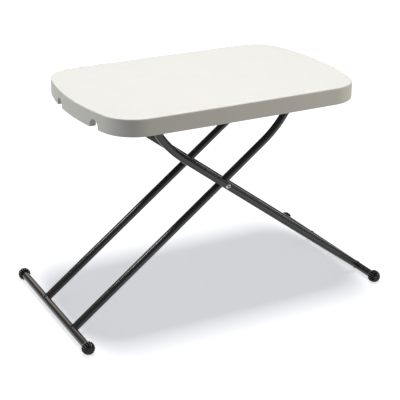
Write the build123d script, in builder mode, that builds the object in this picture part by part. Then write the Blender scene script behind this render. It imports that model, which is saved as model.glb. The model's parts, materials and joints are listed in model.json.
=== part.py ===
from build123d import *
import math
import os

# Top: a hollow moulding with bowed sides and a skirt all round, placed from the middle of the four feet
TOP_LENGTH = 676.0
TOP_WIDTH = 451.0
TOP_HEIGHT = 539.0
TOP_X = 4.0
TOP_Y = -2.5
SKIRT_DEPTH = 41.0
PANEL = 12.0
RIM = 15.0
WALL = 2.5
END_BOW_RADIUS = 680.0
SIDE_BOW_RADIUS = 15000.0
CORNER_RADIUS = 84.0
EDGE_ROUND = 5.0
SKIRT_ROUND = 1.5
TACK_RADIUS = 8.0
TACK_DEPTH = 6.0
TACK_PITCH_X = 120.0
TACK_PITCH_Y = 140.0

# Arched notches in the end skirts that the folded legs lie in
NOTCH_WIDTH = 31.0
NOTCH_HEIGHT = 21.0
NOTCH_SHIFT = 4.0
NOTCH_LIP = 3.5

# Leg frames: the outer pair of legs straddles the inner pair
TUBE = 19.0
TUBE_WALL = 1.2
FRAME_Y = -30.5
OUTER_HALF = 109.0
LEG_GAP = 2.0
FOOT_REACH = 493.1
BEND_RADIUS = 260.0
BEND_ANGLE = math.radians(28.0)
TAIL = 22.5
FOLDED_DIP = math.radians(2.5)
TIP_RADIUS = 10.3
TIP_CLEARANCE = 0.7

# Foot bars and their ribbed end caps
CAP_RADIUS = 15.5
CAP_LENGTH = 23.0
CAP_END_Y = 228.0
CAP_BARREL = 9.0
CAP_FACE_RADIUS = 9.0
CAP_RIBS = 16
RIB_DEPTH = 2.6
RIB_GAP = 3.0
SOCKET_DEPTH = 19.0
SOCKET_CLEARANCE = 0.5
WELD_ON_LEG = 1.8
WELD_ON_BAR = 2.2
WELD_GAP = 0.2

# Cross rods and the slotted rails they run in
ROD = 8.0
ROD_CAP_RADIUS = 6.0
ROD_CAP_LENGTH = 5.0
ROD_CAP_WALL = 1.0
END_PLAY = 0.5
RUNNING_FIT = 0.06
SLOT_CLEARANCE = 0.3
SLOT_SPARE = 5.0
POCKET = 4.0
RAIL_WEB = 8.0
RAIL_DEPTH = 22.0
RAIL_FLANGE = 28.0
RAIL_FLANGE_THICKNESS = 4.0
RAIL_MARGIN = 10.0
RAIL_END_SPACE = 20.0
RAIL_SPACE = 4.0
SCREW_RADIUS = 2.0
SCREW_HEAD_RADIUS = 4.0
SCREW_HEAD = 2.4
SCREW_BITE = 8.0
SCREW_BOSS_RADIUS = 5.0
SCREW_HOLE_CLEARANCE = 0.2
SCREW_MARGIN = 12.0

# Pivot bolts
BOLT_RADIUS = 3.0
BOLT_HEAD_RADIUS = 6.1
BOLT_HEAD = 3.6
BOLT_SOCKET_RADIUS = 2.6
BOLT_SOCKET_DEPTH = 2.0
BOLT_SPARE = 1.5
NUT_FLATS = 10.0
NUT = 5.5
NUT_CLEARANCE = 0.3
WASHER_RADIUS = 7.5
WASHER = 1.6

# Places that follow from the sizes above
UNDERSIDE = TOP_HEIGHT - SKIRT_DEPTH
CEILING = TOP_HEIGHT - PANEL
TUBE_R = TUBE / 2
BORE_R = TUBE_R - TUBE_WALL
ROD_R = ROD / 2
INNER_HALF = OUTER_HALF - TUBE - LEG_GAP
BAR_Z = CAP_RADIUS
ROD_Z = CEILING - TIP_RADIUS - TIP_CLEARANCE
RAIL_X1 = TOP_LENGTH / 2 - abs(TOP_X) - RIM - RAIL_END_SPACE
SLOT_END = RAIL_X1 - RAIL_MARGIN
FOLDED_X = SLOT_END - SLOT_SPARE
ROD_ASIDE = BEND_RADIUS * (1 - math.cos(BEND_ANGLE)) + TAIL * math.sin(BEND_ANGLE)
ROD_ALONG = (FOLDED_X - ROD_ASIDE * math.sin(FOLDED_DIP)) / math.cos(FOLDED_DIP)
BEND_START = ROD_ALONG - BEND_RADIUS * math.sin(BEND_ANGLE) - TAIL * math.cos(BEND_ANGLE)
LEG_REACH = math.hypot(FOOT_REACH + ROD_ALONG, ROD_ASIDE)
LEG_ANGLE = math.asin((ROD_Z - BAR_Z) / LEG_REACH) - math.atan2(ROD_ASIDE, FOOT_REACH + ROD_ALONG)
TAIL_ANGLE = LEG_ANGLE + BEND_ANGLE
FOOT_X = FOOT_REACH * math.cos(LEG_ANGLE)
PIVOT_Z = BAR_Z + FOOT_REACH * math.sin(LEG_ANGLE)
BEND_X0 = BEND_START * math.cos(LEG_ANGLE)
BEND_Z0 = PIVOT_Z + BEND_START * math.sin(LEG_ANGLE)
BEND_XM = BEND_X0 + BEND_RADIUS * (math.sin(LEG_ANGLE + BEND_ANGLE / 2) - math.sin(LEG_ANGLE))
BEND_ZM = BEND_Z0 + BEND_RADIUS * (math.cos(LEG_ANGLE) - math.cos(LEG_ANGLE + BEND_ANGLE / 2))
BEND_X1 = BEND_X0 + BEND_RADIUS * (math.sin(TAIL_ANGLE) - math.sin(LEG_ANGLE))
BEND_Z1 = BEND_Z0 + BEND_RADIUS * (math.cos(LEG_ANGLE) - math.cos(TAIL_ANGLE))
ROD_X = BEND_X1 + TAIL * math.cos(TAIL_ANGLE)
TIP_X = ROD_X + TIP_RADIUS * math.cos(TAIL_ANGLE)
TIP_Z = ROD_Z + TIP_RADIUS * math.sin(TAIL_ANGLE)
RAIL_X0 = ROD_X - RAIL_MARGIN - ROD_R
RAIL_Y = INNER_HALF - TUBE_R - RAIL_SPACE - RAIL_WEB / 2
FLANGE_Y = RAIL_Y + RAIL_WEB / 2 - RAIL_FLANGE / 2
SCREW_Y = RAIL_Y - RAIL_WEB / 2 - (RAIL_FLANGE - RAIL_WEB) / 2
SCREW_XS = (RAIL_X0 + SCREW_MARGIN, (RAIL_X0 + RAIL_X1) / 2, RAIL_X1 - SCREW_MARGIN)
CAP_BACK_Y = CAP_END_Y - CAP_LENGTH
BAR_HALF = CAP_BACK_Y + SOCKET_DEPTH - SOCKET_CLEARANCE
OUTER_ROD_HALF = OUTER_HALF + TUBE_R + END_PLAY + ROD_CAP_LENGTH - ROD_CAP_WALL
INNER_ROD_HALF = INNER_HALF + TUBE_R + END_PLAY + ROD_CAP_LENGTH - ROD_CAP_WALL

# Ends of the table: the outer legs reach up at the left, the inner legs at the right
LEFT, RIGHT = -1, 1
FRONT, REAR = -1, 1


def across(y):
    """Plane facing the front, whose two directions are X and Z."""
    return Plane.XZ.offset(-y)


def top_plane(z):
    """Level plane whose origin is under the middle of the top."""
    return Plane(origin=(TOP_X, TOP_Y, z))


def leg_y(half, side):
    return FRAME_Y + side * half


def outline(inset):
    """Plan of the top, drawn inside its edge by the inset: two end arcs, two side arcs, four corners."""
    a = TOP_LENGTH / 2 - inset
    b = TOP_WIDTH / 2 - inset
    end_r = END_BOW_RADIUS - inset
    side_r = SIDE_BOW_RADIUS - inset
    r = CORNER_RADIUS - inset
    end_x = a - end_r
    side_y = b - side_r
    span = math.hypot(end_x, side_y)
    along = ((end_r - r) ** 2 - (side_r - r) ** 2 + span**2) / (2 * span)
    off = math.sqrt((end_r - r) ** 2 - along**2)
    ux, uy = -end_x / span, side_y / span
    cx = end_x + along * ux - off * uy
    cy = along * uy + off * ux
    t_end = math.atan2(cy, cx - end_x)
    t_side = math.atan2(cy - side_y, cx)
    t_mid = (t_end + t_side) / 2
    e = (end_x + end_r * math.cos(t_end), end_r * math.sin(t_end))
    m = (cx + r * math.cos(t_mid), cy + r * math.sin(t_mid))
    s = (side_r * math.cos(t_side), side_y + side_r * math.sin(t_side))
    for sx, sy in ((1, 1), (-1, 1), (-1, -1), (1, -1)):
        ThreePointArc((sx * e[0], sy * e[1]), (sx * m[0], sy * m[1]), (sx * s[0], sy * s[1]))
    for sign in (1, -1):
        ThreePointArc((sign * e[0], -e[1]), (sign * a, 0), (sign * e[0], e[1]))
        ThreePointArc((-s[0], sign * s[1]), (0, sign * b), (s[0], sign * s[1]))


def end_notches(growth):
    """Arches with rounded lips: at the left end for the inner legs, at the right for the outer legs."""
    width = NOTCH_WIDTH + 2 * growth
    spring = UNDERSIDE + NOTCH_HEIGHT + growth - width / 2
    lip_x = width / 2 + NOTCH_LIP
    for end, half in ((LEFT, INNER_HALF), (RIGHT, OUTER_HALF)):
        with BuildSketch(Plane.YZ.offset(TOP_X + end * TOP_LENGTH / 2)) as arches:
            for side in (FRONT, REAR):
                y = leg_y(half + NOTCH_SHIFT, side)
                with Locations((y, UNDERSIDE)):
                    Rectangle(2 * lip_x, 2 * NOTCH_LIP)
                with Locations((y - lip_x, UNDERSIDE + NOTCH_LIP), (y + lip_x, UNDERSIDE + NOTCH_LIP)):
                    Circle(NOTCH_LIP, mode=Mode.SUBTRACT)
            for side in (FRONT, REAR):
                y = leg_y(half + NOTCH_SHIFT, side)
                with Locations((y, UNDERSIDE)):
                    Rectangle(width, 2 * (spring - UNDERSIDE))
                with Locations((y, spring)):
                    Circle(width / 2)
        extrude(arches.sketch, amount=3 * RIM, both=True, mode=Mode.SUBTRACT)


def screw_points():
    return [
        (end * x, leg_y(SCREW_Y, side)) for end in (LEFT, RIGHT) for side in (FRONT, REAR) for x in SCREW_XS
    ]


# Space inside the moulding
with BuildPart() as hollow:
    with BuildSketch(top_plane(UNDERSIDE + WALL)):
        with BuildLine():
            outline(WALL)
        make_face()
    extrude(amount=SKIRT_DEPTH - 2 * WALL)
    with BuildSketch(top_plane(UNDERSIDE)):
        with BuildLine():
            outline(RIM - WALL)
        make_face()
    extrude(amount=SKIRT_DEPTH - PANEL + WALL, mode=Mode.SUBTRACT)
    end_notches(WALL)
    with BuildSketch(Plane.XY.offset(UNDERSIDE)):
        with Locations(*screw_points()):
            Circle(SCREW_BOSS_RADIUS)
        with Locations((0, FRAME_Y)):
            with GridLocations(TACK_PITCH_X, TACK_PITCH_Y, 5, 3):
                Circle(TACK_RADIUS + WALL)
    extrude(amount=SKIRT_DEPTH, mode=Mode.SUBTRACT)

with BuildPart() as top:
    with BuildSketch(top_plane(UNDERSIDE)):
        with BuildLine():
            outline(0)
        make_face()
    extrude(amount=SKIRT_DEPTH)
    fillet(top.edges().group_by(Axis.Z)[-1], EDGE_ROUND)
    fillet(top.edges().group_by(Axis.Z)[0], SKIRT_ROUND)
    with BuildSketch(top_plane(UNDERSIDE)):
        with BuildLine():
            outline(RIM)
        make_face()
    extrude(amount=SKIRT_DEPTH - PANEL, mode=Mode.SUBTRACT)
    recess = top.faces(Select.LAST).filter_by(GeomType.PLANE, reverse=True)
    fillet(recess.edges().group_by(Axis.Z)[0], SKIRT_ROUND)
    end_notches(0)
    add(hollow.part, mode=Mode.SUBTRACT)
    with BuildSketch(Plane.XY.offset(CEILING)):
        with Locations(*screw_points()):
            Circle(SCREW_RADIUS)
    extrude(amount=SCREW_BITE, mode=Mode.SUBTRACT)
    with BuildSketch(Plane.XY.offset(CEILING)):
        with Locations((0, FRAME_Y)):
            with GridLocations(TACK_PITCH_X, TACK_PITCH_Y, 5, 3):
                Circle(TACK_RADIUS)
    extrude(amount=TACK_DEPTH, mode=Mode.SUBTRACT)
top.part.label = "top"


def rail(end, side):
    """Slotted web under a screwed flange; the pocket over the slot's inner end seats the rod."""
    with BuildSketch(across(leg_y(RAIL_Y, side))) as web:
        with Locations((end * (RAIL_X0 + RAIL_X1) / 2, CEILING - RAIL_DEPTH / 2)):
            Rectangle(RAIL_X1 - RAIL_X0, RAIL_DEPTH)
        with Locations((end * (ROD_X + SLOT_END) / 2, ROD_Z)):
            SlotCenterToCenter(SLOT_END - ROD_X, ROD + 2 * SLOT_CLEARANCE, mode=Mode.SUBTRACT)
        with Locations((end * ROD_X, ROD_Z + POCKET / 2)):
            SlotCenterToCenter(POCKET, ROD + 2 * SLOT_CLEARANCE, rotation=90, mode=Mode.SUBTRACT)
    extrude(web.sketch, amount=RAIL_WEB / 2, both=True)
    with BuildSketch(Plane.XY.offset(CEILING - RAIL_FLANGE_THICKNESS)) as flange:
        with Locations((end * (RAIL_X0 + RAIL_X1) / 2, leg_y(FLANGE_Y, side))):
            Rectangle(RAIL_X1 - RAIL_X0, RAIL_FLANGE)
        with Locations(*[(end * x, leg_y(SCREW_Y, side)) for x in SCREW_XS]):
            Circle(SCREW_RADIUS + SCREW_HOLE_CLEARANCE, mode=Mode.SUBTRACT)
    extrude(flange.sketch, amount=RAIL_FLANGE_THICKNESS)


with BuildPart() as outer_rail_front:
    rail(LEFT, FRONT)
outer_rail_front.part.label = "outer_rail_front"

with BuildPart() as outer_rail_rear:
    rail(LEFT, REAR)
outer_rail_rear.part.label = "outer_rail_rear"

with BuildPart() as inner_rail_front:
    rail(RIGHT, FRONT)
inner_rail_front.part.label = "inner_rail_front"

with BuildPart() as inner_rail_rear:
    rail(RIGHT, REAR)
inner_rail_rear.part.label = "inner_rail_rear"

with BuildPart() as rail_screws:
    with BuildSketch(Plane.XY.offset(CEILING - RAIL_FLANGE_THICKNESS)):
        with Locations(*screw_points()):
            Circle(SCREW_RADIUS)
    extrude(amount=RAIL_FLANGE_THICKNESS + SCREW_BITE)
    with BuildSketch(Plane.XY.offset(CEILING - RAIL_FLANGE_THICKNESS)):
        with Locations(*screw_points()):
            Circle(SCREW_HEAD_RADIUS)
    extrude(amount=-SCREW_HEAD)
    fillet(rail_screws.edges().group_by(Axis.Z)[0], SCREW_HEAD / 2)
rail_screws.part.label = "rail_screws"


def cross_rod(end, half_length):
    with BuildSketch(across(FRAME_Y + half_length)) as section:
        with Locations((end * ROD_X, ROD_Z)):
            Circle(ROD_R)
    extrude(section.sketch, amount=2 * half_length)


def rod_caps(end, half_length):
    """Blind push-on caps over both ends of a cross rod."""
    for side in (FRONT, REAR):
        y = leg_y(half_length + ROD_CAP_WALL, side)
        with BuildSketch(across(y)) as disc:
            with Locations((end * ROD_X, ROD_Z)):
                Circle(ROD_CAP_RADIUS)
        extrude(disc.sketch, amount=side * ROD_CAP_LENGTH)
        with BuildSketch(across(leg_y(half_length, side))) as bore:
            with Locations((end * ROD_X, ROD_Z)):
                Circle(ROD_R)
        extrude(bore.sketch, amount=side * ROD_CAP_LENGTH, mode=Mode.SUBTRACT)


with BuildPart() as outer_rod:
    cross_rod(LEFT, OUTER_ROD_HALF)
outer_rod.part.label = "outer_rod"

with BuildPart() as outer_rod_caps:
    rod_caps(LEFT, OUTER_ROD_HALF)
    fillet(outer_rod_caps.edges().group_by(Axis.Y)[0], ROD_CAP_WALL)
    fillet(outer_rod_caps.edges().group_by(Axis.Y)[-1], ROD_CAP_WALL)
outer_rod_caps.part.label = "outer_rod_caps"

with BuildPart() as inner_rod:
    cross_rod(RIGHT, INNER_ROD_HALF)
inner_rod.part.label = "inner_rod"

with BuildPart() as inner_rod_caps:
    rod_caps(RIGHT, INNER_ROD_HALF)
    fillet(inner_rod_caps.edges().group_by(Axis.Y)[0], ROD_CAP_WALL)
    fillet(inner_rod_caps.edges().group_by(Axis.Y)[-1], ROD_CAP_WALL)
inner_rod_caps.part.label = "inner_rod_caps"


def tip_trim(end, y, hole_radius):
    """Rounds the upper end of a leg about its rod and bores the rod's hole."""
    angle = math.degrees(TAIL_ANGLE) if end == RIGHT else 180 - math.degrees(TAIL_ANGLE)
    with BuildSketch(across(y + TUBE)) as waste:
        with Locations((end * ROD_X, ROD_Z)):
            Rectangle(2 * TUBE, 2 * TUBE, rotation=angle, align=(Align.MIN, Align.CENTER))
            Circle(TIP_RADIUS, mode=Mode.SUBTRACT)
            Circle(hole_radius)
    extrude(waste.sketch, amount=2 * TUBE, mode=Mode.SUBTRACT)


def leg(end, y, pivot_radius):
    """Tube from its foot bar through the pivot, then bent towards upright up to its cross rod."""
    with BuildLine(across(y)) as centre:
        Line((-end * FOOT_X, BAR_Z), (end * BEND_X0, BEND_Z0))
        ThreePointArc((end * BEND_X0, BEND_Z0), (end * BEND_XM, BEND_ZM), (end * BEND_X1, BEND_Z1))
        Line((end * BEND_X1, BEND_Z1), (end * TIP_X, TIP_Z))
    heading = (end * math.cos(LEG_ANGLE), 0, math.sin(LEG_ANGLE))
    with BuildSketch(Plane(origin=(-end * FOOT_X, y, BAR_Z), z_dir=heading)) as ring:
        Circle(TUBE_R)
        Circle(BORE_R, mode=Mode.SUBTRACT)
    sweep(ring.sketch, path=centre.line)
    with BuildSketch(across(y + TUBE)) as holes:
        with Locations((-end * FOOT_X, BAR_Z)):
            Circle(TUBE_R + WELD_GAP)
        with Locations((0, PIVOT_Z)):
            Circle(pivot_radius)
    extrude(holes.sketch, amount=2 * TUBE, mode=Mode.SUBTRACT)
    tip_trim(end, y, ROD_R + RUNNING_FIT)


def leg_plugs(end, half):
    """Plugs that close the upper ends of a pair of legs around their rod."""
    heading = (end * math.cos(TAIL_ANGLE), 0, math.sin(TAIL_ANGLE))
    for side in (FRONT, REAR):
        y = leg_y(half, side)
        with BuildSketch(Plane(origin=(end * TIP_X, y, TIP_Z), z_dir=heading)) as disc:
            Circle(BORE_R)
        extrude(disc.sketch, amount=-2 * TIP_RADIUS)
        tip_trim(end, y, ROD_R + RUNNING_FIT)


def foot_bar(x):
    with BuildSketch(across(BAR_HALF)) as ring:
        with Locations((x, BAR_Z)):
            Circle(TUBE_R)
            Circle(BORE_R, mode=Mode.SUBTRACT)
    extrude(ring.sketch, amount=2 * BAR_HALF)


def welds(end, half):
    """Beads round the joints of two legs and their foot bar."""
    x = -end * FOOT_X
    heading = (end * math.cos(LEG_ANGLE), 0, math.sin(LEG_ANGLE))
    planes = [Plane(origin=(x, leg_y(half, side), BAR_Z), z_dir=heading) for side in (FRONT, REAR)]
    with BuildSketch(*planes) as collars:
        Circle(TUBE_R + WELD_ON_LEG)
    extrude(collars.sketch, amount=TUBE)
    with BuildSketch(across(CAP_BACK_Y)) as sleeve:
        with Locations((x, BAR_Z)):
            Circle(TUBE_R + WELD_ON_BAR)
    extrude(sleeve.sketch, amount=2 * CAP_BACK_Y, mode=Mode.INTERSECT)
    with BuildSketch(across(CAP_BACK_Y)) as bar:
        with Locations((x, BAR_Z)):
            Circle(TUBE_R)
    extrude(bar.sketch, amount=2 * CAP_BACK_Y, mode=Mode.SUBTRACT)
    with BuildSketch(*planes) as legs:
        Circle(TUBE_R)
    extrude(legs.sketch, amount=TUBE, mode=Mode.SUBTRACT)


def dome_profile(radius, side):
    """Half section of an end cap, from its back rim round to its face."""
    back = side * CAP_BACK_Y
    shoulder = side * (CAP_BACK_Y + CAP_BARREL)
    front = side * CAP_END_Y
    Line((0, back), (radius, back))
    Line((radius, back), (radius, shoulder))
    TangentArc((radius, shoulder), (CAP_FACE_RADIUS, front), tangent=(0, side))
    Line((CAP_FACE_RADIUS, front), (0, front))
    Line((0, front), (0, back))


def end_cap(x, side):
    """Domed cap with a blind socket for the bar; the gaps between its ribs fade out towards its face."""
    section = Plane(origin=(x, 0, BAR_Z), x_dir=(1, 0, 0), z_dir=(0, 0, 1))
    axis = Axis((x, 0, BAR_Z), (0, 1, 0))
    with BuildSketch(section) as crests:
        with BuildLine():
            dome_profile(CAP_RADIUS, side)
        make_face()
    revolve(crests.sketch, axis=axis)
    with BuildSketch(across(side * CAP_BACK_Y)) as gaps:
        with Locations((x, BAR_Z)):
            with PolarLocations(CAP_RADIUS, CAP_RIBS, start_angle=180 / CAP_RIBS):
                Rectangle(CAP_RADIUS, RIB_GAP)
    extrude(gaps.sketch, amount=-side * CAP_LENGTH, mode=Mode.SUBTRACT)
    with BuildSketch(section) as core:
        with BuildLine():
            dome_profile(CAP_RADIUS - RIB_DEPTH, side)
        make_face()
    revolve(core.sketch, axis=axis)
    with BuildSketch(across(side * CAP_BACK_Y)) as socket:
        with Locations((x, BAR_Z)):
            Circle(TUBE_R)
    extrude(socket.sketch, amount=-side * SOCKET_DEPTH, mode=Mode.SUBTRACT)


with BuildPart() as outer_leg_front:
    leg(LEFT, leg_y(OUTER_HALF, FRONT), BOLT_RADIUS)
outer_leg_front.part.label = "outer_leg_front"

with BuildPart() as outer_leg_rear:
    leg(LEFT, leg_y(OUTER_HALF, REAR), BOLT_RADIUS)
outer_leg_rear.part.label = "outer_leg_rear"

with BuildPart() as outer_leg_plugs:
    leg_plugs(LEFT, OUTER_HALF)
outer_leg_plugs.part.label = "outer_leg_plugs"

with BuildPart() as outer_foot_bar:
    foot_bar(FOOT_X)
outer_foot_bar.part.label = "outer_foot_bar"

with BuildPart() as outer_welds:
    welds(LEFT, OUTER_HALF)
outer_welds.part.label = "outer_welds"

with BuildPart() as outer_cap_front:
    end_cap(FOOT_X, FRONT)
outer_cap_front.part.label = "outer_cap_front"

with BuildPart() as outer_cap_rear:
    end_cap(FOOT_X, REAR)
outer_cap_rear.part.label = "outer_cap_rear"

with BuildPart() as inner_leg_front:
    leg(RIGHT, leg_y(INNER_HALF, FRONT), BOLT_RADIUS + RUNNING_FIT)
inner_leg_front.part.label = "inner_leg_front"

with BuildPart() as inner_leg_rear:
    leg(RIGHT, leg_y(INNER_HALF, REAR), BOLT_RADIUS + RUNNING_FIT)
inner_leg_rear.part.label = "inner_leg_rear"

with BuildPart() as inner_leg_plugs:
    leg_plugs(RIGHT, INNER_HALF)
inner_leg_plugs.part.label = "inner_leg_plugs"

with BuildPart() as inner_foot_bar:
    foot_bar(-FOOT_X)
inner_foot_bar.part.label = "inner_foot_bar"

with BuildPart() as inner_welds:
    welds(RIGHT, INNER_HALF)
inner_welds.part.label = "inner_welds"

with BuildPart() as inner_cap_front:
    end_cap(-FOOT_X, FRONT)
inner_cap_front.part.label = "inner_cap_front"

with BuildPart() as inner_cap_rear:
    end_cap(-FOOT_X, REAR)
inner_cap_rear.part.label = "inner_cap_rear"


def pivot_bolt(side):
    """Button head outside the outer leg, shank through both legs."""
    face = leg_y(OUTER_HALF + TUBE_R, side)
    end = leg_y(INNER_HALF - TUBE_R - NUT_CLEARANCE - NUT - BOLT_SPARE, side)
    with BuildSketch(across(face)) as head:
        with Locations((0, PIVOT_Z)):
            Circle(BOLT_HEAD_RADIUS)
    extrude(head.sketch, amount=-side * BOLT_HEAD, taper=15)
    with BuildSketch(across(face + side * BOLT_HEAD)) as socket:
        with Locations((0, PIVOT_Z)):
            RegularPolygon(BOLT_SOCKET_RADIUS, 6)
    extrude(socket.sketch, amount=side * BOLT_SOCKET_DEPTH, mode=Mode.SUBTRACT)
    with BuildSketch(across(face)) as shank:
        with Locations((0, PIVOT_Z)):
            Circle(BOLT_RADIUS)
    extrude(shank.sketch, amount=side * abs(face - end))


with BuildPart() as front_pivot_bolt:
    pivot_bolt(FRONT)
front_pivot_bolt.part.label = "front_pivot_bolt"

with BuildPart() as rear_pivot_bolt:
    pivot_bolt(REAR)
rear_pivot_bolt.part.label = "rear_pivot_bolt"

with BuildPart() as pivot_washers:
    for side in (FRONT, REAR):
        with BuildSketch(across(leg_y(OUTER_HALF - TUBE_R, side))):
            with Locations((0, PIVOT_Z)):
                Circle(WASHER_RADIUS)
                Circle(BOLT_RADIUS, mode=Mode.SUBTRACT)
        extrude(amount=side * WASHER)
pivot_washers.part.label = "pivot_washers"

with BuildPart() as pivot_nuts:
    for side in (FRONT, REAR):
        with BuildSketch(across(leg_y(INNER_HALF - TUBE_R - NUT_CLEARANCE, side))):
            with Locations((0, PIVOT_Z)):
                RegularPolygon(NUT_FLATS / 2, 6, major_radius=False)
                Circle(BOLT_RADIUS, mode=Mode.SUBTRACT)
        extrude(amount=side * NUT)
pivot_nuts.part.label = "pivot_nuts"

os.makedirs("parts", exist_ok=True)
for piece in (
    top,
    outer_rail_front,
    outer_rail_rear,
    inner_rail_front,
    inner_rail_rear,
    rail_screws,
    outer_rod,
    outer_rod_caps,
    outer_leg_front,
    outer_leg_rear,
    outer_leg_plugs,
    outer_foot_bar,
    outer_welds,
    outer_cap_front,
    outer_cap_rear,
    inner_rod,
    inner_rod_caps,
    inner_leg_front,
    inner_leg_rear,
    inner_leg_plugs,
    inner_foot_bar,
    inner_welds,
    inner_cap_front,
    inner_cap_rear,
    front_pivot_bolt,
    rear_pivot_bolt,
    pivot_washers,
    pivot_nuts,
):
    export_step(piece.part, f"parts/{piece.part.label}.step")
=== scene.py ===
import json
import math

import bmesh
import bpy
import numpy as np
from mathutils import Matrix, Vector

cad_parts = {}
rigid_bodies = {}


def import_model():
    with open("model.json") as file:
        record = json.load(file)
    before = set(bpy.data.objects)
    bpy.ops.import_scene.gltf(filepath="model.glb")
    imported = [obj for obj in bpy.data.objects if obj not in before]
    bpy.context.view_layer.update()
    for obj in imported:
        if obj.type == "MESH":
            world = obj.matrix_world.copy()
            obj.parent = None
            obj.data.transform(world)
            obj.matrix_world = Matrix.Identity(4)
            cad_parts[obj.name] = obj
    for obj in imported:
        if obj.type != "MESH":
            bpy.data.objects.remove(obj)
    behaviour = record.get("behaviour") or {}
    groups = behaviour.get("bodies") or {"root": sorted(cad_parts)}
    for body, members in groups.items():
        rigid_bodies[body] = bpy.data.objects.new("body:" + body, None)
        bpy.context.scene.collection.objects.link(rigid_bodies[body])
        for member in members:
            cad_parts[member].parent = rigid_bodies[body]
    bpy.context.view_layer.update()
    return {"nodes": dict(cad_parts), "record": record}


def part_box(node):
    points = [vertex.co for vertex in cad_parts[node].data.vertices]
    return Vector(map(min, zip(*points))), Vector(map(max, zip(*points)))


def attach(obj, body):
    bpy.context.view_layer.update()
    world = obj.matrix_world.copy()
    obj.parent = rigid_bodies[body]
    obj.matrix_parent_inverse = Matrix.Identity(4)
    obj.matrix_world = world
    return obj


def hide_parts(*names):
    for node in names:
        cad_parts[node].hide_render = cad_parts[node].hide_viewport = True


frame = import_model()
SCENE = bpy.context.scene
MM = 0.001

# Camera of the photograph: pixels, metres and degrees
IMAGE_WIDTH = 400
FOCAL_PIXELS = 1114.2
CAMERA_PLACE = (-1.1901, -2.2732, 1.2821)
CAMERA_PITCH = 22.429
CAMERA_YAW = 27.702

# Sizes in mm that the loaded frame does not give, and a few counts, shares and angles. A section is a row of
# pairs: a radius and a place along the axis.

# Top
PANEL = 12.0
RIM = 15.0
END_BOW_RADIUS = 680.0
SIDE_BOW_RADIUS = 15000.0
CORNER_RADIUS = 84.0
EDGE_ROUND = 2.8
SKIRT_ROUND = 1.4
CEILING_ROUND = 4.0
NOTCH_WIDTH = 31.0
NOTCH_HEIGHT = 21.0
NOTCH_SHIFT = 4.0
NOTCH_LIP = 3.5
NOTCH_FLAT = 2.0
NOTCH_ZONE = 24.0
COLUMN_SPACE = 4.2
FACE_RINGS = (0.0, 0.3, 0.6, 0.85, 0.96, 1.0)  # shares of the way out
ROOF_RINGS = 88
TACK_RADIUS = 12.5
TACK_SLOPE = 9.5
TACK_DEPTH = 6.0
TACK_PITCH_X = 120.0
TACK_PITCH_Y = 140.0
TACKS_ALONG = 2  # on each side of the middle one
TACKS_ACROSS = 1

# Foot bars, their finned caps and their welds
TUBE_RADIUS = 9.5
CAP_BARREL = 9.0
CAP_FACE_RADIUS = 9.0
CAP_FACE = ((8.6, 0.25), (7.9, 0.0), (5.0, 0.0), (0.0, 0.0))
CAP_LIP = 0.6
CAP_BACK = 5.0
CAP_FINS = 16
FIN_COLUMNS = 16
FIN_DEPTH = 4.8
FIN_ROUND = 0.4  # share of half a fin's width
FIN_SHEEN_AND_WEAR = 0.72  # share of a fin's height, above which it is painted pale: a painted highlight and wear
FACE_PLAIN_CRESTS = 2.0
FACE_FADE = 4.0
SOCKET = ((0.0, 19.0), (8.5, 19.0), (9.6, 18.5), (9.6, 0.6), (9.9, 0.1), (10.3, 0.0))
BEAD_RADIUS = 1.4
BEAD_RIPPLES = 26
RIPPLE_POINTS = 6
RIPPLE_HEIGHT = 0.14  # share of the bead's radius, and so are the next three
BEAD_WANDER = 0.06
BEAD_THICK = 0.8
BEAD_WIDE = 1.1
BEAD_LIFT = 0.2

# Pivot bolts, washers and nuts
BOLT_RADIUS = 3.0
BOLT_HEAD = 3.6
BOLT_HEAD_RADIUS = 6.1
BOLT_HEAD_RIM = 0.9
BOLT_CHAMFER = 0.25
BOLT_EDGE = ((6.1, 0.7), (6.1, 0.25), (5.8, 0.0), (3.0, 0.0))
BOLT_TIP_RADIUS = 2.3
KEY_RADIUS = 2.9
KEY_RIM = 3.1
KEY_DEPTH = 2.0
KEY_CONE = 0.4
THREAD_PITCH = 1.0
THREAD_DEPTH = 0.35
THREAD_LENGTH = 9.0
THREAD_FIT = 0.02
THREAD_CHAMFER = 0.5
NUT = 5.5
NUT_FLATS = 10.0
NUT_CHAMFER = 0.15
NUT_CONE = 1.7  # mm outwards for each mm from the face
NUT_BORE = ((3.5, 5.5), (3.02, 5.1), (3.02, 0.4), (3.5, 0.0))
WASHER = ((7.1, 0.0), (7.5, 0.35), (7.5, 1.25), (7.1, 1.6), (3.2, 1.6), (3.0, 1.4), (3.0, 0.2), (3.2, 0.0))

# Rod caps and rail screws
ROD_CAP_LENGTH = 5.0
ROD_CAP_BORE = ((0.0, 4.0), (3.6, 4.0), (4.05, 3.7), (4.05, 0.4), (4.5, 0.0), (5.4, 0.0), (5.9, 0.15))
ROD_CAP_SIDE = (0.6, 3.2)
ROD_CAP_DOME = (1.6, 1.3)
ROD_CAP_END = ((3.9, 4.65), (2.0, 4.9), (0.0, 5.0))
SCREW_HEAD = 2.4
SCREW_CROWN = 0.9
SCREW_HEAD_RADIUS = 4.0
SCREW_SIDE = ((4.0, 1.2), (4.0, 0.3), (3.8, 0.0), (2.0, 0.0), (2.0, -4.2), (0.0, -4.2))
SCREW_TURN = 0.4  # radians
SCREW_FINE = (0.0, 2.6)
SCREW_COARSE = (2.8, 3.8)
SCREW_MARGIN = 12.0
SCREW_ASIDE = 10.0
CROSS_REACH = 2.1
CROSS_WIDTH = 0.55
CROSS_DEPTH = 1.2
CROSS_FLANK = 0.2
CROSS_END = 0.3

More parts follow.
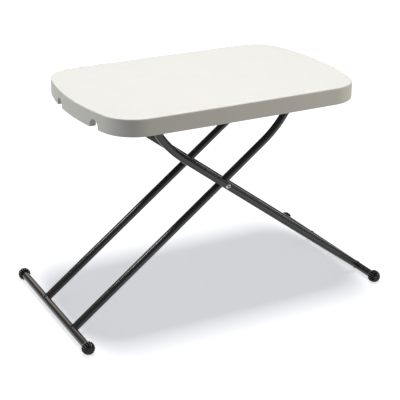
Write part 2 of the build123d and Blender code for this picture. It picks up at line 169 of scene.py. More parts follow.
# Light, in metres and watts, and strengths at which 1 is white
LAMP_AIM = (0, 0, 0.3)
OVERHEAD = (0, 0, 3.6)
OVERHEAD_SIZE = (0.35, 1.0)
NEUTRAL = (1, 1, 1)
LEFT_TINT = (0.98, 1, 0.95)
RIGHT_TINT = (1, 0.9, 0.74)
REAR_TINT = (1, 0.88, 0.76)
WORLD_LIGHT = 0.16
ROOM_LIGHT = 0.3
ROOM_RADIUS = 7.0
FLOOR_REACH = 20.0
FLOOR_BOUNCE = 0.34
FLOOR_GLOW = 0.53
GLOW_COLOUR = (0.934, 0.952, 1, 1)
GLOW_NEAR = 0.8
GLOW_FAR = 2.2

# Blender's Mix node has a set of sockets for each type of data: these are the factor and the two colours
FACTOR, COLOUR_A, COLOUR_B = 0, 6, 7
# Most of a noise field lies between these values
NOISE_SPAN = {"From Min": 0.3, "From Max": 0.7}
EVEN = (1, 1, 1)
WHITE = (1, 1, 1, 1)


def srgb(code):
    """Linear colour of an sRGB hex code."""
    value = np.array([int(code[i : i + 2], 16) for i in (1, 3, 5)]) / 255
    return (*np.where(value > 0.04045, ((value + 0.055) / 1.055) ** 2.4, value / 12.92).tolist(), 1.0)


def feed(tree, node, inputs):
    """Sets inputs of a node: to a plain value, or by a link from a socket or a node's first output in use."""
    for key, value in inputs.items():
        if isinstance(value, bpy.types.Node):
            value = next(output for output in value.outputs if output.enabled)
        if isinstance(value, bpy.types.NodeSocket):
            tree.links.new(value, node.inputs[key])
        else:
            node.inputs[key].default_value = value
    return node


def add(tree, kind, inputs=None, **settings):
    """New node with its settings and its inputs."""
    node = tree.nodes.new(kind)
    for key, value in settings.items():
        setattr(node, key, value)
    return feed(tree, node, inputs or {})


def new_material(name):
    """New material, with its tree and its shader."""
    material = bpy.data.materials.new(name)
    material.use_nodes = True
    return material, material.node_tree, material.node_tree.nodes["Principled BSDF"]


def grained(name, tint, colours, gloss, roughness, grain, height, strength):
    """New material whose colour, roughness and bump follow fields of noise, with its tree, shader and colour.
    A field is the size of its blotches in mm, its octaves and how far it is drawn out along each axis."""
    material, tree, shader = new_material(name)
    place = add(tree, "ShaderNodeTexCoord").outputs["Object"]
    fields = []
    for size, octaves, stretch in (tint, gloss, grain):
        drawn = add(tree, "ShaderNodeMapping", {"Vector": place, "Scale": [1 / s for s in stretch]})
        inputs = {"Vector": drawn, "Scale": 1 / (size * MM), "Detail": octaves}
        fields.append(add(tree, "ShaderNodeTexNoise", inputs))
    share = add(tree, "ShaderNodeMapRange", {"Value": fields[0], **NOISE_SPAN})
    inputs = {FACTOR: share, COLOUR_A: srgb(colours[0]), COLOUR_B: srgb(colours[1])}
    colour = add(tree, "ShaderNodeMix", inputs, data_type="RGBA")
    inputs = {"Value": fields[1], **NOISE_SPAN, "To Min": roughness[0], "To Max": roughness[1]}
    rough = add(tree, "ShaderNodeMapRange", inputs)
    bump = add(tree, "ShaderNodeBump", {"Height": fields[2], "Distance": height * MM, "Strength": strength})
    feed(tree, shader, {"Base Color": colour, "Roughness": rough, "Normal": bump})
    return material, tree, shader, colour


def moulded_polyethylene():
    """Off-white blow-moulded polyethylene: a fine pebble grain that softens the sheen, faintly clouded. The
    real grain is about 0.6 mm; it is drawn at 3 mm so that a small picture can show it."""
    material, tree, shader, _ = grained(
        "moulded_polyethylene",
        tint=(60, 3, EVEN), colours=("#f2f1ec", "#f4f3ee"),
        gloss=(9, 2, EVEN), roughness=(0.54, 0.66),
        grain=(3, 2, EVEN), height=0.5, strength=0.6,
    )
    feed(tree, shader, {"Specular IOR Level": 0.35})
    return material


def powder_coated_steel():
    """Charcoal powder coat: satin, with orange peel, a fine sparkle of pigment and a few pale rubs."""
    material, tree, shader, colour = grained(
        "powder_coated_steel",
        tint=(1.2, 2, EVEN), colours=("#131212", "#1c1b1a"),
        gloss=(18, 3, EVEN), roughness=(0.14, 0.18),
        grain=(2.2, 1, EVEN), height=0.04, strength=0.12,
    )
    place = add(tree, "ShaderNodeTexCoord").outputs["Object"]
    drawn = add(tree, "ShaderNodeMapping", {"Vector": place, "Scale": (1, 1 / 3, 1)})
    patches = add(tree, "ShaderNodeTexNoise", {"Vector": drawn, "Scale": 1 / (22 * MM), "Detail": 6})
    inputs = {"Value": patches, "From Min": 0.567, "From Max": 0.7, "To Max": 0.45}
    rubs = add(tree, "ShaderNodeMapRange", inputs)
    inputs = {FACTOR: rubs, COLOUR_A: colour, COLOUR_B: srgb("#2b2927")}
    wear_and_sheen = add(tree, "ShaderNodeMix", inputs, data_type="RGBA")
    feed(tree, shader, {"Base Color": wear_and_sheen, "Specular IOR Level": 0.6})
    return material


def black_moulded_plastic():
    """Black soft plastic: a waxy shine, uneven from the mould, pale along the crests of its fins as a painted
    highlight and scuffs, and dusty within 5 mm of the floor."""
    material, tree, shader, colour = grained(
        "black_moulded_plastic",
        tint=(4, 2, EVEN), colours=("#040404", "#090909"),
        gloss=(5, 3, EVEN), roughness=(0.12, 0.2),
        grain=(1.1, 2, EVEN), height=0.04, strength=0.3,
    )
    place = add(tree, "ShaderNodeTexCoord").outputs["Object"]
    # Painted highlight and scuffs: the fins' crests are mixed towards pale grey in patches, standing in for
    # streaks of light on them as well as wear.
    crest_patches = add(tree, "ShaderNodeTexNoise", {"Vector": place, "Scale": 1 / (3 * MM), "Detail": 3})
    patchy = add(tree, "ShaderNodeMapRange", {"Value": crest_patches, **NOISE_SPAN, "To Min": 0.35})
    crest = add(tree, "ShaderNodeAttribute", attribute_name="relief").outputs["Fac"]
    crest_highlight_and_scuffs = add(tree, "ShaderNodeMath", {0: crest, 1: patchy}, operation="MULTIPLY")
    inputs = {FACTOR: crest_highlight_and_scuffs, COLOUR_A: colour, COLOUR_B: srgb("#7a7a79")}
    wear_and_sheen = add(tree, "ShaderNodeMix", inputs, data_type="RGBA")
    above = add(tree, "ShaderNodeSeparateXYZ", {"Vector": place}).outputs["Z"]
    low = add(tree, "ShaderNodeMapRange", {"Value": above, "From Min": 5 * MM, "From Max": 0.0})
    specks = add(tree, "ShaderNodeTexNoise", {"Vector": place, "Scale": 1 / (3 * MM), "Detail": 4})
    dust = add(tree, "ShaderNodeMath", {0: low, 1: specks}, operation="MULTIPLY")
    inputs = {FACTOR: dust, COLOUR_A: wear_and_sheen, COLOUR_B: srgb("#4b4945")}
    dusty = add(tree, "ShaderNodeMix", inputs, data_type="RGBA")
    feed(tree, shader, {"Base Color": dusty, "Specular IOR Level": 0.28})
    return material


def grey_nylon():
    """Glass-filled nylon: matt grey with short pale fibres that lie along the moulding."""
    return grained(
        "grey_nylon",
        tint=(1, 2, (3, 1, 1)), colours=("#7a7a77", "#8a8a87"),
        gloss=(4, 2, EVEN), roughness=(0.5, 0.66),
        grain=(1, 2, (6, 1, 1)), height=0.1, strength=0.4,
    )[0]


def drawn_zinc_rod():
    """Zinc-plated drawn rod: fine lines along its length that pull the highlight out sideways."""
    lines = (0.7, 3, (1, 60, 1))
    material, tree, shader, _ = grained(
        "drawn_zinc_rod",
        tint=lines, colours=("#a3a5a6", "#c2c3c3"),
        gloss=lines, roughness=(0.24, 0.42),
        grain=lines, height=0.05, strength=0.4,
    )
    feed(tree, shader, {"Metallic": 1.0})
    return material


def zinc_plated_steel():
    """Bright zinc on small fasteners: cloudy from the bath, with painted shade in its hollows."""
    material, tree, shader, colour = grained(
        "zinc_plated_steel",
        tint=(1.8, 3, EVEN), colours=("#b3b4b4", "#d2d2d0"),
        gloss=(2.5, 2, EVEN), roughness=(0.2, 0.38),
        grain=(0.8, 2, EVEN), height=0.03, strength=0.4,
    )
    # Painted shade: points that lie deep in a recess take a dark grey in place of the zinc.
    hollow = add(tree, "ShaderNodeAttribute", attribute_name="relief").outputs["Fac"]
    inputs = {FACTOR: hollow, COLOUR_A: colour, COLOUR_B: srgb("#242424")}
    recess_shaded = add(tree, "ShaderNodeMix", inputs, data_type="RGBA")
    feed(tree, shader, {"Base Color": recess_shaded, "Metallic": 1.0})
    return material


MATERIALS = {
    "white_plastic": moulded_polyethylene(),
    "charcoal_tube": powder_coated_steel(),
    "black_plastic": black_moulded_plastic(),
    "grey_nylon": grey_nylon(),
    "rod_steel": drawn_zinc_rod(),
    "zinc_steel": zinc_plated_steel(),
}
SLOTS = {part["node"]: part["material_slot"] for part in frame["record"]["subparts"]}
BODIES = {node: body for body, nodes in frame["record"]["behaviour"]["bodies"].items() for node in nodes}
for node, obj in frame["nodes"].items():
    obj.data.materials.clear()
    obj.data.materials.append(MATERIALS[SLOTS[node]])


def node_box(node):
    """Lowest and highest corner of a node in mm."""
    return [np.array(corner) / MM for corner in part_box(node)]


def node_axis(node):
    """Middle of a node in x and z, in mm."""
    return (sum(node_box(node)) / 2)[[0, 2]]


def columns(pairs):
    """The firsts and the seconds of a row of pairs, each as a column of a grid."""
    return np.array(pairs).T[..., None]


def around(count):
    """Angles of the columns of a turned grid, as one row."""
    return np.linspace(0, 2 * np.pi, count, endpoint=False)[None]


def turned(radius, along, angle, centre):
    """Points at a radius round a line parallel to Y through the centre (x, z), at places along it."""
    x = centre[0] + radius * np.cos(angle)
    z = centre[1] + radius * np.sin(angle)
    return np.stack(np.broadcast_arrays(x, along, z), axis=-1)


def piece(name, grids, node, loop=False, crease=35, relief=None):
    """Closed skins in place of a node. A grid of points joins up round its columns; its first and last
    rows are poles, or with loop its rows join up too. Doubled points are merged and normals turned out.
    Relief tells, for each point of a grid, how deep it lies in a recess, which its material darkens as painted
    shade, or how far out it stands on a crest, which its material paints pale as a painted highlight and wear."""
    rows, across = grids[0].shape[:2]
    corner = np.arange(rows * across).reshape(rows, across)
    if loop:
        corner = np.concatenate([corner, corner[:1]])
    side = np.roll(corner, -1, axis=1)
    faces = np.stack([corner[:-1], side[:-1], side[1:], corner[1:]], axis=-1).reshape(-1, 4)
    starts = rows * across * np.arange(len(grids))
    faces = (faces[None] + starts[:, None, None]).reshape(-1, 4)
    points = np.concatenate([grid.reshape(-1, 3) for grid in grids]) * MM
    mesh = bpy.data.meshes.new(name)
    mesh.from_pydata(points.tolist(), [], faces.tolist())
    if relief is not None:
        marks = mesh.attributes.new("relief", "FLOAT", "POINT")
        marks.data.foreach_set("value", np.tile(np.broadcast_to(relief, (rows, across)).ravel(), len(grids)))
    work = bmesh.new()
    work.from_mesh(mesh)
    bmesh.ops.remove_doubles(work, verts=work.verts, dist=0.001 * MM)
    bmesh.ops.recalc_face_normals(work, faces=work.faces)
    work.to_mesh(mesh)
    work.free()
    mesh.polygons.foreach_set("use_smooth", np.ones(len(mesh.polygons), dtype=bool))
    mesh.set_sharp_from_angle(angle=math.radians(crease))
    mesh.materials.append(MATERIALS[SLOTS[node]])
    obj = bpy.data.objects.new(name, mesh)
    SCENE.collection.objects.link(obj)
    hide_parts(node)
    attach(obj, BODIES[node])


def top_plan():
    """The top's outline as eight arcs in turn: a table of centre x, centre y, radius and first direction,
    and the length of outline before each arc, with the whole length last. A corner's centre is where two
    circles cross, those of the end's and the side's bow, each less the corner's radius."""
    low, high = node_box("top")
    length, width = (high - low)[:2]
    end_x = length / 2 - END_BOW_RADIUS
    side_y = width / 2 - SIDE_BOW_RADIUS
    end_r = END_BOW_RADIUS - CORNER_RADIUS
    side_r = SIDE_BOW_RADIUS - CORNER_RADIUS
    span = math.hypot(end_x, side_y)
    along = (end_r**2 - side_r**2 + span**2) / (2 * span)
    off = math.sqrt(end_r**2 - along**2)
    cx = end_x - along * end_x / span - off * side_y / span
    cy = along * side_y / span - off * end_x / span
    end = math.atan2(cy, cx - end_x)
    side = math.atan2(cy - side_y, cx)
    arcs = np.array(
        [
            [end_x, 0, END_BOW_RADIUS, -end],
            [cx, cy, CORNER_RADIUS, end],
            [0, side_y, SIDE_BOW_RADIUS, side],
            [-cx, cy, CORNER_RADIUS, math.pi - side],
            [-end_x, 0, END_BOW_RADIUS, math.pi - end],
            [-cx, -cy, CORNER_RADIUS, math.pi + end],
            [0, -side_y, SIDE_BOW_RADIUS, math.pi + side],
            [cx, -cy, CORNER_RADIUS, 2 * math.pi - side],
        ]
    )
    turns = np.diff(np.append(arcs[:, 3], 2 * math.pi - end))
    return arcs, np.concatenate([[0], np.cumsum(arcs[:, 2] * turns)])


def notch_path():
    """Lower edge of the skirt across one notch, from left to right: place along the skirt, height, and the
    direction into the plastic. Flat, a round lip, a short wall, then half an arch; the rest is its mirror."""
    half = NOTCH_WIDTH / 2
    lip = np.linspace(0, np.pi / 2, 8)
    arch = np.linspace(0, np.pi / 2, 17)
    flat = [-NOTCH_ZONE, -half - NOTCH_LIP - NOTCH_FLAT]
    place = np.concatenate([flat, -half - NOTCH_LIP * (1 - np.sin(lip)), -half * np.cos(arch)])
    spring = NOTCH_HEIGHT - half
    height = np.concatenate([[0, 0], NOTCH_LIP * (1 - np.cos(lip)), spring + half * np.sin(arch)])
    into_s = np.concatenate([[0, 0], -np.sin(lip), -np.cos(arch)])
    into_z = np.concatenate([[1, 1], np.cos(lip), np.sin(arch)])
    return (
        np.concatenate([place, -place[-2::-1]]),
        np.concatenate([height, height[-2::-1]]),
        np.concatenate([into_s, -into_s[-2::-1]]),
        np.concatenate([into_z, into_z[-2::-1]]),
    )


def table_top():
    """Moulded top as one skin, a section carried round the outline. From the middle of the upper face it runs
    out over the rounded edge, down the skirt, under the rim, up inside and back to the middle of the ceiling.
    A point is a place along the outline, an inset along its normal and a height. The skirt's lower edge
    follows an arch at each notch, and the columns spread out evenly again towards the upper edge. The
    ceiling rises in a smooth cone at each tack, where the two walls of the moulding touch."""
    low, high = node_box("top")
    middle = (low + high) / 2
    arcs, starts = top_plan()
    ceiling = high[2] - PANEL
    tilt = -arcs[0, 3]

    def bow(y):
        return END_BOW_RADIUS * np.arcsin((y - middle[1]) / END_BOW_RADIUS)

    def leg_notches(pair):
        legs = [sum(node_box(f"{pair}_leg_{place}"))[1] / 2 for place in ("front", "rear")]
        return np.array([legs[0] - NOTCH_SHIFT, legs[1] + NOTCH_SHIFT])

    right = END_BOW_RADIUS * tilt + bow(leg_notches("outer"))
    left = starts[4] + END_BOW_RADIUS * tilt - bow(leg_notches("inner"))
    centres = np.sort(np.concatenate([right, left]))
    place, height, into_s, into_z = notch_path()
    even = np.linspace(-NOTCH_ZONE, NOTCH_ZONE, len(place))
    fade = np.clip((NOTCH_ZONE - np.abs(place)) / (NOTCH_ZONE - NOTCH_WIDTH / 2 - NOTCH_LIP), 0, 1)
    stretches = []
    for centre, following in zip(centres, np.append(centres[1:], centres[0] + starts[-1])):
        gap = following - centre - 2 * NOTCH_ZONE
        plain = centre + NOTCH_ZONE + np.linspace(0, gap, int(gap / COLUMN_SPACE))[1:-1]
        still = np.zeros_like(plain)
        slope = math.tan((centre % starts[4]) / END_BOW_RADIUS - tilt)
        stretches.append(np.stack([centre + even, centre + place, height, into_s, into_z, fade * slope]))
        stretches.append(np.stack([plain, plain, still, still, still + 1, still]))
    upper, lower, height, into_s, into_z, slant = np.concatenate(stretches, axis=1)

    def points(s, inset, z, scale=1.0):
        s = s % starts[-1]
        arc = np.searchsorted(starts, s, side="right") - 1
        turn = arcs[arc, 3] + (s - starts[arc]) / arcs[arc, 2]
        reach = arcs[arc, 2] - inset
        x = middle[0] + scale * (arcs[arc, 0] + reach * np.cos(turn))
        y = middle[1] + scale * (arcs[arc, 1] + reach * np.sin(turn))
        return np.stack(np.broadcast_arrays(x, y, z), axis=-1)

    def flank(step, inset):
        shoulder = high[2] - EDGE_ROUND if inset == 0 else ceiling - CEILING_ROUND
        foot = low[2] + height + SKIRT_ROUND * into_z
        s = upper + (lower + inset * slant + SKIRT_ROUND * into_s - upper) * step
        return points(s, inset, shoulder + (foot - shoulder) * step)

    def rim(inset, lift):
        s = lower + inset * slant + lift * into_s
        return points(s, inset, low[2] + height + lift * into_z)

    bend = np.linspace(0, np.pi / 2, 7)[1:, None]
    step = np.linspace(0, 1, 9)[1:, None]
    shrink = 1 - np.sin(bend)
    grow = 1 - np.cos(bend)
    face = points(upper, EDGE_ROUND, high[2], np.array(FACE_RINGS)[:, None])
    edge = points(upper, EDGE_ROUND * shrink, high[2] - EDGE_ROUND * grow)
    outer_round = rim(SKIRT_ROUND * grow, SKIRT_ROUND * shrink)
    under = rim(np.linspace(SKIRT_ROUND, RIM - SKIRT_ROUND, 4)[1:, None], 0)
    inner_round = rim(RIM - SKIRT_ROUND * shrink, SKIRT_ROUND * grow)
    inside = [flank(step[-2::-1], RIM), flank(np.zeros((1, 1)), RIM)]
    hollow_round = points(upper, RIM + CEILING_ROUND * grow, ceiling - CEILING_ROUND * shrink)
    roof = points(upper, RIM + CEILING_ROUND, ceiling, np.linspace(1, 0, ROOF_RINGS)[1:, None])
    off_x = roof[..., 0]
    off_y = roof[..., 1] - sum(node_box("outer_rod"))[1] / 2
    off_x = off_x - TACK_PITCH_X * np.clip(np.round(off_x / TACK_PITCH_X), -TACKS_ALONG, TACKS_ALONG)
    off_y = off_y - TACK_PITCH_Y * np.clip(np.round(off_y / TACK_PITCH_Y), -TACKS_ACROSS, TACKS_ACROSS)
    cone = np.clip((TACK_RADIUS - np.hypot(off_x, off_y)) / TACK_SLOPE, 0, 1)
    roof[..., 2] += TACK_DEPTH * cone**2 * (3 - 2 * cone)
    outside = [face, edge, flank(step, 0), outer_round, under, inner_round]
    piece("moulded_top", [np.concatenate([*outside, *inside, hollow_round, roof])], "top")


def end_cap(node):
    """Finned cap. Its skin runs from the floor of the socket out over a rounded back, along the barrel and
    dome and in over the face. The radius lies between a sleeve and a crest curve: each fin has a round crest
    and straight flanks that meet in a sharp gap, as the distance from the fin's middle tells. The crest is a
    quarter ellipse at the back and an arc over the dome; both curves meet at the face, where the fins end."""
    low, high = node_box(node)
    side = 1 if high[1] > 0 else -1
    crest_radius = (high[0] - low[0]) / 2
    length = high[1] - low[1]
    back = low[1] if side > 0 else -high[1]
    dome = length - CAP_BARREL
    angle = around(CAP_FINS * FIN_COLUMNS)
    off = np.abs((angle * CAP_FINS / (2 * np.pi) + 0.5) % 1 - 0.5) * 2
    fin = np.where(off < FIN_ROUND, 1 - 0.5 * off**2 / FIN_ROUND, 1 - off + 0.5 * FIN_ROUND)
    fin = (fin - fin.min()) / (fin.max() - fin.min())
    turn = np.linspace(0, np.pi / 2, 10)
    barrel = [(CAP_BACK + CAP_BARREL) / 2, CAP_BARREL]
    dome_rows = np.linspace(CAP_BARREL + 1, length - CAP_LIP, 13)
    y = np.concatenate([CAP_BACK * (1 - np.cos(turn)), barrel, dome_rows])[:, None]

    def arc(radius):
        bend = ((radius - CAP_FACE_RADIUS) ** 2 + dome**2) / (2 * (radius - CAP_FACE_RADIUS))
        return radius - bend + np.sqrt(bend**2 - np.clip(y - CAP_BARREL, 0, None) ** 2)

    sleeve = arc(crest_radius - FIN_DEPTH)
    shoulder = np.sqrt(1 - np.clip(1 - y / CAP_BACK, 0, 1) ** 2)
    outside = sleeve + (arc(crest_radius) - sleeve) * fin * shoulder
    face_r, face_y = columns(CAP_FACE)
    socket_r, socket_y = columns(SOCKET)
    flat = np.zeros_like(angle)
    radius = np.concatenate([socket_r + flat, outside, face_r + flat])
    along = side * (back + np.concatenate([socket_y, y, length - face_y]))
    # Painted highlight and wear: how pale each crest point is painted, fading out near the face.
    crest = np.clip((fin - FIN_SHEEN_AND_WEAR) / (1 - FIN_SHEEN_AND_WEAR), 0, 1) * shoulder**2
    crest = crest * np.clip((length - FACE_PLAIN_CRESTS - y) / FACE_FADE, 0, 1)
    crest_sheen_and_wear = np.concatenate([0 * socket_r + flat, crest, 0 * face_r + flat])
    piece(f"ribbed_{node}", [turned(radius, along, angle, node_axis(node))], node, relief=crest_sheen_and_wear)


def weld_beads(node, leg_nodes):
    """Rippled bead along the line where each leg meets its bar. Round the leg by the angle, that line is
    the tube's radius times the size of the angle's sine up the leg; the bead is a flattened round section
    about it, set out between the two tubes' normals, whose radius swells and shrinks along the way."""
    bar_x, bar_z = node_axis(node.replace("welds", "foot_bar"))
    foot = np.array([bar_x, 0, bar_z])
    scissor = next(joint for joint in frame["record"]["behaviour"]["joints"] if joint["name"] == "scissor")
    pivot = np.array(scissor["pos_m"]) / MM
    up = (pivot - foot) / np.linalg.norm(pivot - foot)
    out = np.array([up[2], 0, -up[0]])
    turn = around(BEAD_RIPPLES * RIPPLE_POINTS).T
    section = around(14)[..., None]
    leg_normal = np.cos(turn) * out + np.sin(turn) * np.array([0, 1, 0])
    # A small square under the root rounds off the two places where the line touches the bar's side.
    rise = TUBE_RADIUS * np.sqrt(np.sin(turn) ** 2 + 0.01)
    line = rise * up + TUBE_RADIUS * leg_normal
    bar_normal = line * np.array([1, 0, 1]) / TUBE_RADIUS
    lift = leg_normal + bar_normal
    lift /= np.linalg.norm(lift, axis=1, keepdims=True)
    ahead = np.roll(line, -1, axis=0) - np.roll(line, 1, axis=0)
    ahead /= np.linalg.norm(ahead, axis=1, keepdims=True)
    aside = np.cross(ahead, lift)
    ripple = 1 + RIPPLE_HEIGHT * np.sin(BEAD_RIPPLES * turn) + BEAD_WANDER * np.sin(3 * turn + 1)
    ring = np.cos(section) * lift[:, None] * BEAD_THICK + np.sin(section) * aside[:, None] * BEAD_WIDE
    bead = (line + BEAD_LIFT * lift)[:, None] + BEAD_RADIUS * ripple[:, None] * ring
    grids = [bead + foot + np.array([0, sum(node_box(leg))[1] / 2, 0]) for leg in leg_nodes]
    piece(f"rippled_{node}", grids, node, loop=True, crease=60)


def hexagon(radius, angle):
    """Radius of a hexagon's edge in each direction, for its radius over the corners."""
    return radius * math.cos(math.pi / 6) / np.cos((angle % (np.pi / 3)) - np.pi / 6)


def pivot_bolt(node):
    """Button-headed bolt. The head's height falls with the square of the radius from the rim of its hexagon
    socket; the shank ends in a thread, whose radius follows a cosine of the place along it and the turn."""
    low, high = node_box(node)
    side = 1 if high[1] > 0 else -1
    seat = (high[1] if side > 0 else -low[1]) - BOLT_HEAD
    angle = around(60)
    flat = np.zeros_like(angle)
    key = hexagon(KEY_RADIUS, angle)
    floor = BOLT_HEAD - KEY_DEPTH
    key_y = np.array([[floor - KEY_CONE], [floor], [floor], [BOLT_HEAD - BOLT_CHAMFER]])
    head_r = np.linspace(KEY_RIM, BOLT_HEAD_RADIUS - BOLT_CHAMFER, 9)[:, None]
    fall = ((head_r - KEY_RIM) / (BOLT_HEAD_RADIUS - KEY_RIM)) ** 2
    head_y = BOLT_HEAD_RIM + (BOLT_HEAD - BOLT_HEAD_RIM) * (1 - fall)
    edge_r, edge_y = columns(BOLT_EDGE)
    end = BOLT_HEAD - (high[1] - low[1])
    thread_y = np.linspace(end + THREAD_LENGTH, end + THREAD_CHAMFER, 70)[:, None]
    groove = 0.5 - 0.5 * np.cos(2 * np.pi * thread_y / THREAD_PITCH + angle)
    fade = np.clip((end + THREAD_LENGTH - thread_y) / THREAD_PITCH, 0, 1)
    thread = BOLT_RADIUS - THREAD_FIT - THREAD_DEPTH * groove * fade
    head = [flat, 0.5 * key, key, key, head_r + flat, edge_r + flat]
    radius = np.concatenate([*head, thread, flat + BOLT_TIP_RADIUS, flat])
    along = np.concatenate([key_y, head_y, edge_y, thread_y, [[end], [end]]])
    # Painted shade: the socket's floor and walls are marked for the zinc's dark colour.
    recess_shade = np.zeros_like(along)
    recess_shade[:3] = 1
    piece(f"button_{node}", [turned(radius, side * (seat + along), angle, node_axis(node))], node, relief=recess_shade)


def ring_pair(node, name, radius, along, angle):
    """One closed ring at each side of the table, from the front ring's section, whose rows join up."""
    low, high = node_box(node)
    middle = (low[1] + high[1]) / 2
    half = (high[1] - low[1]) / 2
    grids = [turned(radius, middle + side * (half - along), angle, node_axis(node)) for side in (-1, 1)]
    piece(name, grids, node, loop=True)


def pivot_rings():
    """Washers with rounded edges, and nuts: a hexagon cut back by a cone at both faces, so that each corner
    ends in a curved chamfer."""
    angle = around(72)
    washer_r, washer_y = columns(WASHER)
    ring_pair("pivot_washers", "rounded_pivot_washers", washer_r + 0 * angle, washer_y, angle)
    y = np.linspace(0, NUT, 23)[:, None]
    cone = NUT_FLATS / 2 - NUT_CHAMFER + np.minimum(y, NUT - y) * NUT_CONE
    side = np.minimum(hexagon(NUT_FLATS / 2 / math.cos(math.pi / 6), angle), cone)
    bore_r, bore_y = columns(NUT_BORE)
    radius = np.concatenate([side, bore_r + 0 * angle])
    ring_pair("pivot_nuts", "chamfered_pivot_nuts", radius, np.concatenate([y, bore_y]), angle)


def rod_caps(node):
    """Push-on caps: a skin from the floor of the bore out over a rolled rim, along the side and over a domed
    end, whose edge is a quarter ellipse."""
    low, high = node_box(node)
    side = (high[0] - low[0]) / 2
    angle = around(48)
    bend = np.linspace(0, np.pi / 2, 7)[1:-1, None]
    bore_r, bore_y = columns(ROD_CAP_BORE)
    side_r, side_y = columns([(side, y) for y in ROD_CAP_SIDE])
    dome_r = side - ROD_CAP_DOME[0] * (1 - np.cos(bend))
    dome_y = ROD_CAP_SIDE[1] + ROD_CAP_DOME[1] * np.sin(bend)
    end_r, end_y = columns(ROD_CAP_END)
    radius = np.concatenate([bore_r, side_r, dome_r, end_r]) + 0 * angle
    along = np.concatenate([bore_y, side_y, dome_y, end_y]) - ROD_CAP_LENGTH
    centre = node_axis(node)
    grids = [turned(radius, low[1] - along, angle, centre), turned(radius, high[1] + along, angle, centre)]
    piece(f"domed_{node}", grids, node)


def rail_screws():
    """Pan-head screws. The head is a dome over its radius, sunk by a smooth cross: near each of two lines
    through the middle the depth is full, and it runs out at the ends of the arms."""
    seat = node_box("rail_screws")[0][2] + SCREW_HEAD
    angle = around(64)
    head_r = np.concatenate([np.linspace(*SCREW_FINE, 22), np.linspace(*SCREW_COARSE, 5)])[:, None]
    dome = SCREW_HEAD - SCREW_CROWN * (head_r / SCREW_HEAD_RADIUS) ** 2
    nearer = head_r * np.minimum(np.abs(np.cos(angle + SCREW_TURN)), np.abs(np.sin(angle + SCREW_TURN)))
    arms = (CROSS_WIDTH - nearer) / CROSS_FLANK + 0.5
    ends = (CROSS_REACH - head_r) / CROSS_END
    sunk = np.clip(np.minimum(arms, ends), 0, 1)
    side_r, side_h = columns(SCREW_SIDE)
    radius = np.concatenate([head_r, side_r]) + 0 * angle
    height = np.concatenate([dome - CROSS_DEPTH * sunk, side_h + 0 * angle])
    screw = np.stack([radius * np.cos(angle), radius * np.sin(angle), seat - height], axis=-1)
    grids = []
    for rail in ("outer_rail_front", "outer_rail_rear", "inner_rail_front", "inner_rail_rear"):
        low, high = node_box(rail)
        y = high[1] - SCREW_ASIDE if rail.endswith("front") else low[1] + SCREW_ASIDE
        for x in (low[0] + SCREW_MARGIN, (low[0] + high[0]) / 2, high[0] - SCREW_MARGIN):
            grids.append(screw + np.array([x, y, 0]))
    # Painted shade: the sunk cross is marked for the zinc's dark colour.
    recess_shade = np.concatenate([sunk, 0 * side_h + 0 * angle])
    piece("pan_head_rail_screws", grids, "rail_screws", relief=recess_shade)


table_top()
for pair in ("outer", "inner"):
    for place in ("front", "rear"):
        end_cap(f"{pair}_cap_{place}")
    weld_beads(f"{pair}_welds", [f"{pair}_leg_front", f"{pair}_leg_rear"])
    rod_caps(f"{pair}_rod_caps")
pivot_bolt("front_pivot_bolt")
pivot_bolt("rear_pivot_bolt")
pivot_rings()
rail_screws()


def lamp(name, place, size, power, colour, lit=None, shading=None):
    """Soft lamp of the given width and length that faces the middle of the table. It lights the pieces in
    one collection, or all, and those in the other, or all, stand in its light."""
    data = bpy.data.lights.new(name, "AREA")
    data.shape = "RECTANGLE"
    data.size, data.size_y = size
    data.energy = power
    data.color = colour
    obj = bpy.data.objects.new(name, data)
    obj.location = place
    obj.rotation_euler = (Vector(LAMP_AIM) - Vector(place)).to_track_quat("-Z", "Y").to_euler()
    obj.light_linking.receiver_collection = lit
    obj.light_linking.blocker_collection = shading
    SCENE.collection.objects.link(obj)


def gathered(name, slots):
    """Collection of the pieces whose material slot is one of these; it serves the lamps alone."""
    group = bpy.data.collections.new(name)
    for obj in SCENE.collection.all_objects:
        if obj.type == "MESH" and obj.data.materials[0] in [MATERIALS[slot] for slot in slots]:
            group.objects.link(obj)
    return group


nothing = gathered("nothing", [])
white_top = gathered("white_top", ["white_plastic"])
dark_parts = gathered("dark_parts", [slot for slot in MATERIALS if slot != "white_plastic"])
# Two lamps share one place: only the second draws the shade of the legs and feet, so that it stays faint.
lamp("overhead_softbox", OVERHEAD, OVERHEAD_SIZE, 37, NEUTRAL, shading=white_top)
lamp("overhead_fill", OVERHEAD, OVERHEAD_SIZE, 41, NEUTRAL)
lamp("left_softbox", (-4.6, 2.0, 1.0), (2.0, 2.0), 71, LEFT_TINT, white_top, nothing)
lamp("right_softbox", (2.45, -1.75, 0.8), (2.4, 1.4), 28, RIGHT_TINT, white_top, nothing)
# Small lamps that are screened off from the white top and the floor draw lines of light on the frame.
lamp("upper_left_spot", (-1.55, 0.45, 2.85), (0.45, 1.2), 36, NEUTRAL, dark_parts, nothing)
lamp("right_spot", (2.7, -0.7, 1.0), (0.15, 1.0), 2, NEUTRAL, dark_parts, nothing)
lamp("rear_spot", (0.0, 2.5, 1.45), (1.7, 0.6), 6, REAR_TINT, dark_parts, nothing)


def seen_directly(tree):
    """One for rays that show the background itself: from the camera, a reflection or through glass."""
    path = add(tree, "ShaderNodeLightPath").outputs
    inputs = {0: path["Is Glossy Ray"], 1: path["Is Transmission Ray"]}
    bent = add(tree, "ShaderNodeMath", inputs, operation="MAXIMUM")
    return add(tree, "ShaderNodeMath", {0: path["Is Camera Ray"], 1: bent}, operation="MAXIMUM")


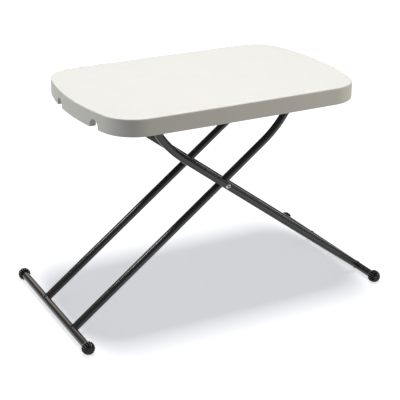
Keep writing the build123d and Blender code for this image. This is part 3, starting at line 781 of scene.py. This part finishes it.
def white_backdrop():
    """World that is white where it shows and lights the table faintly from all sides."""
    world = bpy.data.worlds.new("studio")
    world.use_nodes = True
    SCENE.world = world
    tree = world.node_tree
    inputs = {"Value": seen_directly(tree), "To Min": WORLD_LIGHT, "To Max": 1.0}
    strength = add(tree, "ShaderNodeMapRange", inputs)
    feed(tree, tree.nodes["Background"], {"Color": WHITE, "Strength": strength})


def stage_piece(name, points, faces, material):
    """Mesh of the set, which is no part of the table."""
    mesh = bpy.data.meshes.new(name)
    mesh.from_pydata(points, [], faces)
    mesh.materials.append(material)
    obj = bpy.data.objects.new(name, mesh)
    SCENE.collection.objects.link(obj)
    return obj


def paper_floor():
    """White paper. Seen directly it takes the table's shade and glows, all the more away from the table, where
    its own white takes over from the lamps' light. To other rays it gives back less light, so that the skirts
    keep their shade."""
    paper, tree, unused = new_material("white_paper")
    tree.nodes.remove(unused)
    place = add(tree, "ShaderNodeTexCoord").outputs["Object"]
    away = add(tree, "ShaderNodeVectorMath", {0: place}, operation="LENGTH").outputs["Value"]
    inputs = {"Value": away, "From Min": GLOW_NEAR, "From Max": GLOW_FAR, "To Min": FLOOR_GLOW, "To Max": 1.0}
    strength = add(tree, "ShaderNodeMapRange", inputs)
    glow = add(tree, "ShaderNodeEmission", {"Color": GLOW_COLOUR, "Strength": strength})
    shown = add(tree, "ShaderNodeAddShader", {0: add(tree, "ShaderNodeBsdfDiffuse", {"Color": WHITE}), 1: glow})
    dim = add(tree, "ShaderNodeBsdfDiffuse", {"Color": (FLOOR_BOUNCE, FLOOR_BOUNCE, FLOOR_BOUNCE, 1)})
    mixed = add(tree, "ShaderNodeMixShader", {0: seen_directly(tree), 1: dim, 2: shown})
    feed(tree, tree.nodes["Material Output"], {"Surface": mixed})
    corners = [(FLOOR_REACH * x, FLOOR_REACH * y, 0) for x, y in ((-1, -1), (1, -1), (1, 1), (-1, 1))]
    stage_piece("floor", corners, [(0, 1, 2, 3)], paper)


def dim_room():
    """Dim room round the set: half a ball of points at an azimuth and a height. Only reflections show it, so
    the tubes mirror its walls above the bright floor."""
    walls, tree, unused = new_material("dim_studio_walls")
    tree.nodes.remove(unused)
    glow = add(tree, "ShaderNodeEmission", {"Color": WHITE, "Strength": ROOM_LIGHT})
    feed(tree, tree.nodes["Material Output"], {"Surface": glow})
    azimuth, climb = np.meshgrid(np.linspace(0, 2 * np.pi, 49), np.linspace(0, np.pi / 2, 13))
    level = np.cos(climb)
    shell = ROOM_RADIUS * np.stack([np.cos(azimuth) * level, np.sin(azimuth) * level, np.sin(climb)], axis=-1)
    corner = np.arange(azimuth.size).reshape(azimuth.shape)
    quads = np.stack([corner[:-1, :-1], corner[1:, :-1], corner[1:, 1:], corner[:-1, 1:]], axis=-1)
    room = stage_piece("studio_room", shell.reshape(-1, 3).tolist(), quads.reshape(-1, 4).tolist(), walls)
    room.visible_camera = room.visible_diffuse = room.visible_transmission = room.visible_shadow = False


white_backdrop()
paper_floor()
dim_room()

camera = bpy.data.objects.new("camera", bpy.data.cameras.new("camera"))
camera.location = CAMERA_PLACE
camera.rotation_euler = (math.radians(90 - CAMERA_PITCH), 0, math.radians(-CAMERA_YAW))
camera.data.lens = FOCAL_PIXELS / IMAGE_WIDTH * camera.data.sensor_width
SCENE.collection.objects.link(camera)
SCENE.camera = camera
SCENE.view_settings.view_transform = "Standard"
